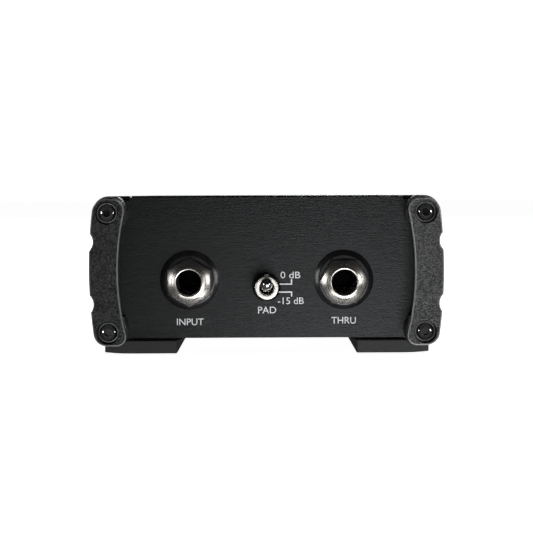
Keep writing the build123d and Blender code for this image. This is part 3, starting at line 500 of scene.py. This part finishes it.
def make_jack_front(name, flat_direction):
    """Sleeve, domed nut and dress washer of one jack."""
    sleeve_low, sleeve_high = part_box(f"{name}_sleeve")
    washer_low, washer_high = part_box(f"{name}_washer")
    nut_low, nut_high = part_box(f"{name}_nut")
    sleeve_axis = centre_of(f"{name}_sleeve")
    washer_axis = centre_of(f"{name}_washer")
    bore = 3.25 * MM
    thread = 4.5 * MM
    ball = 9.8 * MM
    lip = 0.4 * MM
    crown = bore + lip
    front = -nut_low.y
    back = -sleeve_high.y
    panel_back = -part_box("front_panel")[1].y

    flange = (sleeve_high.x - sleeve_low.x) / 2
    flange_depth = 2.1 * MM
    profile = [(bore, back), (thread, back), (thread, panel_back - flange_depth)]
    profile += [(flange, panel_back - flange_depth), (flange, panel_back), (thread, panel_back)]
    pitch = 0.5 * MM
    depth = 0.22 * MM
    crest_relief = 0.01 * MM
    plain_pitches = 1.6
    root = panel_back + pitch
    while root < front - plain_pitches * pitch:
        profile += [(thread - depth, root), (thread - crest_relief, root + pitch / 2)]
        root += pitch
    shoulder = thread - 0.05 * MM
    shoulder_drop = 0.25 * MM
    chamfer = 0.04 * MM
    crown_steps = 8
    profile.append((shoulder, dome_reach(shoulder, crown, front, ball) - shoulder_drop))
    for k in range(crown_steps + 1):
        r = shoulder - chamfer + (crown - shoulder + chamfer) * k / crown_steps
        profile.append((r, dome_reach(r, crown, front, ball)))
    profile += arc_points((crown, front - lip), lip, 96, 180, 8)
    sleeve = lathe(f"{name}_turned_sleeve", sleeve_axis, FRONT, profile, steps=160)
    add_piece(sleeve, "case", "nickel", f"{name}_sleeve")

    face = -washer_low.y
    seat = -washer_high.y
    rim = (washer_high.x - washer_low.x) / 2
    rim_height = 0.22 * MM
    hole = 5.0 * MM
    hole_land, hole_drop = 0.2 * MM, 0.15 * MM
    bow = 6.0 * MM
    bow_start, bow_end = rim - 0.03 * MM, 5.55 * MM
    bow_height = 0.24 * MM
    bow_slope = math.radians(38)
    bow_steps = 18
    below_face = 0.02 * MM
    face_rim = 5.3 * MM
    profile = [(hole, seat), (rim, seat), (rim, seat + rim_height)]
    for k in range(bow_steps + 1):
        r = bow_start + (bow_end - bow_start) * k / bow_steps
        slope = math.asin(math.sin(bow_slope) - (bow_start - r) / bow)
        rise = seat + bow_height + bow * (math.cos(slope) - math.cos(bow_slope))
        profile.append((r, min(rise, face - below_face)))
    profile += [(face_rim, face), (hole + hole_land, face), (hole, face - hole_drop)]
    washer = lathe(f"{name}_dress_washer", washer_axis, FRONT, profile, steps=160)
    add_piece(washer, "case", "black_nickel", f"{name}_washer")

    seat = -nut_high.y
    flats = min(nut_high.x - nut_low.x, nut_high.z - nut_low.z)
    corner = flats / 2 / math.cos(HEX_HALF)
    inner = thread + 0.03 * MM
    inner_land, inner_drop = 0.06 * MM, 0.1 * MM
    dome_steps = 16
    profile = [(inner, seat), (corner, seat), (corner, dome_reach(corner, crown, front, ball))]
    for k in range(1, dome_steps + 1):
        r = corner + (inner + inner_land - corner) * k / dome_steps
        profile.append((r, dome_reach(r, crown, front, ball)))
    profile.append((inner, dome_reach(inner, crown, front, ball) - inner_drop))
    nut = lathe(
        f"{name}_domed_nut",
        sleeve_axis,
        FRONT,
        profile,
        steps=360,
        limit=hexagon_limit(flats, flat_direction),
    )
    add_piece(nut, "case", "nickel", f"{name}_nut")


# ---------------------------------------------------------------- screws


def button_screw(name, origin, end, head_radius, seat, tail, socket_flats):
    """Button-head screw: a lathe with a thin flange round its dome, and a hexagonal well."""
    steps = 96
    crown_steps = 14
    ball = 3.2 * MM
    dome_edge = head_radius - 0.3 * MM
    flange_top = seat + 0.66 * MM
    dome_rise = 0.03 * MM
    edge_break = 0.08 * MM
    shank = 1.48 * MM
    tail_radius = 1.1 * MM
    tail_chamfer = 0.4 * MM
    outline = [
        (0.0, tail),
        (tail_radius, tail),
        (shank, tail + tail_chamfer),
        (shank, seat),
        (head_radius - edge_break, seat),
        (head_radius, seat + edge_break),
        (head_radius, flange_top - 0.06 * MM),
        (head_radius - 0.02 * MM, flange_top - 0.04 * MM),
        (dome_edge, flange_top),
    ]
    well = 1.3 * MM
    well_rim_drop = 0.002 * MM
    socket_turn = 48
    socket = hexagon_limit(socket_flats, socket_turn)
    corner = socket_flats / 2 / math.cos(HEX_HALF)
    mouth = corner + 0.05 * MM
    crown_top = flange_top + dome_rise
    for i in range(crown_steps + 1):
        r = dome_edge - dome_rise + (mouth - dome_edge) * i / crown_steps
        reach = crown_top + math.sqrt(ball**2 - r**2) - math.sqrt(ball**2 - dome_edge**2)
        outline.append((r, reach))
    top = outline[-1][1]

    bm = bmesh.new()
    rings = []
    for radius, reach in outline:
        rings.append(add_ring(bm, origin, end, steps, max(radius, 1e-6), reach))
    for reach in (top - well_rim_drop, top - well):
        rings.append(add_ring(bm, origin, end, steps, math.inf, reach, socket))
    floor_middle = bm.verts.new(axis_point(origin, end, 0, 0, top - well))
    for a, b in zip(rings, rings[1:]):
        for i in range(steps):
            j = (i + 1) % steps
            bm.faces.new((a[i], a[j], b[j], b[i]))
    for i in range(steps):
        bm.faces.new((rings[-1][i], rings[-1][(i + 1) % steps], floor_middle))
    bm.faces.new(rings[0])
    bmesh.ops.remove_doubles(bm, verts=bm.verts, dist=2e-6)
    return make_object(name, bm, smooth_angle=30)


def make_bumper_screws():
    """The eight screws that hold the bumpers."""
    head = 2.6 * MM
    head_height = 1.5 * MM
    socket_flats = 1.95 * MM
    for end, label in ((FRONT, "front"), (REAR, "rear")):
        low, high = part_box(f"{label}_bumper_screws")
        screws = []
        for side in (-1, 1):
            for level in (-1, 1):
                x = side * (high.x - head)
                z = high.z - head if level > 0 else low.z + head
                top = max(abs(low.y), abs(high.y))
                tail = min(abs(low.y), abs(high.y))
                seat = top - head_height
                origin = Vector((x, 0, z))
                screws.append(
                    button_screw("screw", origin, end, head, seat, tail, socket_flats)
                )
        group = join_objects(f"{label}_button_screws", screws)
        add_piece(group, "case", "black_steel", f"{label}_bumper_screws")


def join_objects(name, parts):
    """Join several mesh objects into one piece."""
    bm = bmesh.new()
    for part in parts:
        bm.from_mesh(part.data)
        bpy.data.objects.remove(part)
    return make_object(name, bm, smooth_angle=40)


# ---------------------------------------------------------------- toggle switches


def make_toggle_front(name, end, body):
    """Turned bushing with a keyway, and the ball-ended lever at its resting tilt."""
    low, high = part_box(f"{name}_bushing")
    axis = centre_of(f"{name}_bushing")
    outer = (high.x - low.x) / 2
    front = max(abs(low.y), abs(high.y))
    back = min(abs(low.y), abs(high.y))
    bore = 1.8 * MM
    relief = 0.2 * MM
    pitch = 0.62 * MM
    depth = 0.22 * MM
    crest_start, crest_end = 0.22 * MM, 0.36 * MM
    thread_start, thread_end = back + 0.4 * MM, front - 1.2 * MM
    groove, groove_end = front - 0.62 * MM, front - 0.42 * MM
    rim_round = 0.28 * MM
    bore_round = 0.32 * MM
    profile = [(bore, back), (outer - relief, back)]
    root = thread_start
    while root < thread_end:
        profile += [(outer - depth, root), (outer, root + crest_start)]
        profile += [(outer, root + crest_end)]
        root += pitch
    profile += [(outer - relief, groove), (outer, groove_end)]
    profile += arc_points((outer - rim_round, front - rim_round), rim_round, 0, 90, 7)
    profile += arc_points((bore + bore_round, front - bore_round), bore_round, 90, 180, 7)
    bushing = lathe(f"{name}_turned_bushing", axis, end, profile, steps=144)
    cut_keyway(bushing, axis, end, front, outer)
    add_piece(bushing, "case", "nickel", f"{name}_bushing")

    joint = next(j for j in frame["joints"] if j["child"] == body)
    pivot = Vector(joint["pos_m"])
    tilt = math.radians(joint["range_deg"][1] / 2)
    tip_distance = 6.3 * MM
    ball = 1.7 * MM
    tip = 1.5 * MM
    neck = 0.85 * MM
    neck_points = ((0.04, 1.9), (0.0, 2.4), (0.0, 3.9), (0.12, 4.7))
    tail = 0.7 * MM
    tail_end = 6.9 * MM
    profile = [(0.0, -tail_end)]
    profile += arc_points((0, -tail_end + tail), tail, -80, 0, 6)
    profile += arc_points((0, 0), ball, -64, 58, 24)
    profile += [(neck + swell * MM, reach * MM) for swell, reach in neck_points]
    profile += arc_points((0, tip_distance), tip, -44, 88, 26)
    profile += [(0.0, tip_distance + tip)]
    lever = lathe(f"{name}_bat_lever", Vector((0, 0, 0)), end, profile, steps=96, closed=False)
    turn = Matrix.Rotation(end * tilt, 4, "X")
    lever.data.transform(Matrix.Translation(pivot) @ turn)
    add_piece(lever, body, "chrome", f"{name}_lever")


def cut_keyway(bushing, axis, end, front, outer):
    """Saw the keyway through the top of the bushing's front."""
    width, length, height = 1.1 * MM, 14.0 * MM, 2.1 * MM
    cutter_mesh = bpy.data.meshes.new("keyway")
    bm = bmesh.new()
    bmesh.ops.create_cube(bm, size=1)
    cutter_size = Vector((width, length, height))
    place = Vector((axis.x, end * front, axis.z + outer))
    for v in bm.verts:
        v.co = Vector(a * b for a, b in zip(v.co, cutter_size)) + place
    bm.to_mesh(cutter_mesh)
    bm.free()
    cutter = bpy.data.objects.new("keyway", cutter_mesh)
    bpy.context.scene.collection.objects.link(cutter)
    cut = bushing.modifiers.new("keyway", "BOOLEAN")
    cut.object = cutter
    cut.operation = "DIFFERENCE"
    cut.solver = "EXACT"
    apply_modifiers(bushing)
    bpy.data.objects.remove(cutter)


def apply_modifiers(obj):
    """Bake an object's modifiers into its mesh."""
    depsgraph = bpy.context.evaluated_depsgraph_get()
    mesh = bpy.data.meshes.new_from_object(obj.evaluated_get(depsgraph))
    obj.modifiers.clear()
    obj.data = mesh


# ---------------------------------------------------------------- legends


def legend_place(x, depth_below_top):
    """Matrix that stands flat text on the front panel, reading from the front."""
    turn = Matrix.Rotation(math.pi / 2, 4, "X")
    spot = Vector((x * MM, panel_y - legend_thickness, top_z - depth_below_top * MM))
    return Matrix.Translation(spot) @ turn


def make_legends():
    """Generic function words and the two bracket lines of the pad switch."""
    cap_height = 1.75
    cap_share = 0.69
    size = cap_height * MM / cap_share
    # text, x of the middle, depth of the middle below the top, width; all in mm
    words = (
        ("INPUT", -20.1, 33.05, 7.0),
        ("THRU", 20.2, 32.8, 6.4),
        ("PAD", 0.1, 30.0, 4.75),
        ("0 dB", 6.25, 20.8, 5.2),
        ("-15 dB", 6.35, 27.6, 6.8),
    )
    for i, (text, x, drop, width) in enumerate(words):
        piece = mesh_from_text(f"legend_{i}", text, size, Matrix.Identity(4))
        xs = [v.co.x for v in piece.data.vertices]
        ys = [v.co.y for v in piece.data.vertices]
        stretch = width * MM / (max(xs) - min(xs))
        centre = Vector(((max(xs) + min(xs)) / 2, (max(ys) + min(ys)) / 2, 0))
        fit = Matrix.Diagonal((stretch, cap_height * MM / (max(ys) - min(ys)), 1, 1))
        piece.data.transform(legend_place(x, drop) @ fit @ Matrix.Translation(-centre))
        paint(piece, ink)
        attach(piece, "case")
    stroke = 0.33
    # corners of each line as x and depth below the top, in mm
    upper = ((3.4, 23.2), (6.55, 23.2), (6.55, 21.9))
    lower = ((3.2, 25.3), (6.55, 25.3), (6.55, 26.45))
    for name, points in (("bracket_upper", upper), ("bracket_lower", lower)):
        bm = bmesh.new()
        (x0, d0), (x1, d1), (x2, d2) = points
        h = stroke / 2
        sign = 1 if d2 > d1 else -1
        outline = (
            (x0, d0 - sign * h),
            (x1 + h, d1 - sign * h),
            (x2 + h, d2),
            (x2 - h, d2),
            (x1 - h, d1 + sign * h),
            (x0, d0 + sign * h),
        )
        front = []
        for x, d in outline:
            front.append(bm.verts.new((x * MM, panel_y - 2 * legend_thickness, top_z - d * MM)))
        face = bm.faces.new(front)
        extruded = bmesh.ops.extrude_face_region(bm, geom=[face])
        for v in [g for g in extruded["geom"] if isinstance(g, bmesh.types.BMVert)]:
            v.co.y = panel_y
        piece = make_object(name, bm)
        paint(piece, ink)
        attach(piece, "case")


# ---------------------------------------------------------------- studio


def make_floor():
    """Wide paper floor that glows like a lit table; nothing reflects it."""
    half_width = 6.0
    bm = bmesh.new()
    bmesh.ops.create_grid(bm, x_segments=4, y_segments=4, size=half_width)
    floor = make_object("floor", bm)
    floor.location.z = cad_box[0].z
    floor.data.materials.append(floor_material())
    floor.visible_glossy = False
    floor.visible_shadow = False


def softbox(name, place, target, size, power, glossy=True, only=None):
    """Rectangular soft light aimed at a point, for every piece or for a named few."""
    light = bpy.data.lights.new(name, "AREA")
    light.shape = "RECTANGLE"
    light.size, light.size_y = size
    light.energy = power
    obj = bpy.data.objects.new(name, light)
    bpy.context.scene.collection.objects.link(obj)
    obj.location = place
    obj.rotation_mode = "QUATERNION"
    obj.rotation_quaternion = (Vector(target) - Vector(place)).to_track_quat("-Z", "Y")
    obj.visible_glossy = glossy
    obj.visible_camera = False
    if only:
        group = bpy.data.collections.new(name + "_group")
        for piece in only:
            group.objects.link(bpy.data.objects[piece])
        obj.light_linking.receiver_collection = group
    return obj


def make_world():
    """White backdrop behind the box, and a dim room for everything that it reflects."""
    world = bpy.data.worlds.new("studio")
    bpy.context.scene.world = world
    world.use_nodes = True
    tree = world.node_tree
    background = tree.nodes["Background"]
    background.inputs["Color"].default_value = (1, 1, 1, 1)
    path = tree.nodes.new("ShaderNodeLightPath")
    coords = tree.nodes.new("ShaderNodeTexCoord")
    split = tree.nodes.new("ShaderNodeSeparateXYZ")
    tree.links.new(coords.outputs["Generated"], split.inputs["Vector"])
    room = tree.nodes.new("ShaderNodeMapRange")
    fade_low, fade_high = -0.5, 0.25
    room.inputs["From Min"].default_value = fade_low
    room.inputs["From Max"].default_value = fade_high
    room.inputs["To Min"].default_value = room_below
    room.inputs["To Max"].default_value = room_above
    tree.links.new(split.outputs["Z"], room.inputs["Value"])
    strength = tree.nodes.new("ShaderNodeMix")
    strength.data_type = "FLOAT"
    backdrop = 1.0
    strength.inputs["B"].default_value = backdrop
    tree.links.new(path.outputs["Is Camera Ray"], strength.inputs["Factor"])
    tree.links.new(room.outputs["Result"], strength.inputs["A"])
    tree.links.new(strength.outputs["Result"], background.inputs["Strength"])


def make_camera():
    """Just above the top of the box and 300 mm in front of its panel, tilted slightly down."""
    distance = 300 * MM
    above_top = 0.5 * MM
    aim_below_top = 18.55 * MM
    roll_degrees = -0.26
    camera = bpy.data.cameras.new("camera")
    camera.lens = 77.5
    camera.sensor_width = 36.0
    obj = bpy.data.objects.new("camera", camera)
    bpy.context.scene.collection.objects.link(obj)
    obj.location = Vector((0, panel_y - distance, top_z + above_top))
    aim = Vector((0, panel_y, top_z - aim_below_top))
    roll = Matrix.Rotation(math.radians(roll_degrees), 4, "Z").to_quaternion()
    obj.rotation_mode = "QUATERNION"
    obj.rotation_quaternion = (aim - obj.location).to_track_quat("-Z", "Y") @ roll
    bpy.context.scene.camera = obj
    bpy.context.scene.view_settings.view_transform = "Standard"


def around(azimuth, elevation, distance):
    """Place at an azimuth from the front, an elevation and a distance from the panel's middle."""
    a = math.radians(azimuth)
    e = math.radians(elevation)
    away = Vector((math.sin(a) * math.cos(e), -math.cos(a) * math.cos(e), math.sin(e)))
    return panel_middle + distance * away


def leave_out(name, pieces):
    """Light-linking collection that keeps a light, or its shadows, off the given pieces."""
    group = bpy.data.collections.new(name)
    for piece in pieces:
        group.objects.link(piece)
    for entry in group.collection_objects:
        entry.light_linking.link_state = "EXCLUDE"
    return group


def make_lights():
    """Low key from the right, lights that reach only named pieces, then top and rear fill."""
    jacks = []
    for jack in ("input_jack", "thru_jack"):
        jacks += [f"{jack}_turned_sleeve", f"{jack}_domed_nut"]
    bushing = ["pad_switch_turned_bushing"]
    metal = jacks + bushing + ["pad_switch_bat_lever"]
    screws = ["front_button_screws"]

    # The feet cast no shadow from the key, and the screws aren't lit by it.
    key = softbox("key", around(17, -28, 0.13), panel_middle, (0.08, 0.08), 0.13)
    key.data.color = (0.98, 0.99, 1.03)
    feet = [nodes[node] for node in ("left_foot", "right_foot", "foot_screws")]
    key.light_linking.blocker_collection = leave_out("key_passes", feet)
    unlit = [bpy.data.objects[piece] for piece in screws]
    key.light_linking.receiver_collection = leave_out("key_misses", unlit)

    # name, azimuth, elevation, distance, size, power, the pieces it reaches (None for all)
    front_lights = (
        ("right_box", 55, 4, 0.45, (0.06, 0.16), 0.27, metal),
        ("left_box", -60, 4, 0.45, (0.06, 0.16), 0.26, metal),
        ("right_spot", 57, 3, 1.2, (0.12, 0.22), 12.0, screws),
        ("left_spot", -57, 3, 1.2, (0.12, 0.22), 12.0, screws),
        ("screw_card", 0, -20, 0.5, (0.35, 0.06), 0.12, screws),
        ("right_rim", 57, 2, 0.45, (0.13, 0.2), 0.45, ["input_jack_dress_washer"]),
        ("left_rim", -57, 2, 0.45, (0.13, 0.2), 0.45, ["thru_jack_dress_washer"]),
        ("low_card", 4, -44, 0.25, (0.34, 0.035), 0.2, jacks),
        ("ring_card", 0, -5, 0.5, (0.25, 0.25), 0.085, bushing),
        ("bumper_card", 25, -16, 0.3, (0.1, 0.1), 1.15, ["front_right_bumper"]),
        ("front_strip", 0, -8, 0.5, (0.25, 0.08), 0.04, None),
    )
    for name, azimuth, elevation, distance, size, power, only in front_lights:
        place = around(azimuth, elevation, distance)
        softbox(name, place, panel_middle, size, power, only=only)
    softbox("overhead", (0.0, 0.45, 0.8), (0.0, 0.0, 0.0), (1.0, 0.8), 8.0, glossy=False)
    softbox("rear_fill", (0.25, 0.7, 0.35), (0.0, 0.06, 0.02), (0.5, 0.4), 5.0)


paint_frame()
make_jack_front("input_jack", 0)
make_jack_front("thru_jack", 30)
make_bumper_screws()
make_toggle_front("pad_switch", FRONT, "pad_lever")
make_toggle_front("lift_switch", REAR, "lift_lever")
make_legends()
make_floor()
make_world()
make_camera()
make_lights()
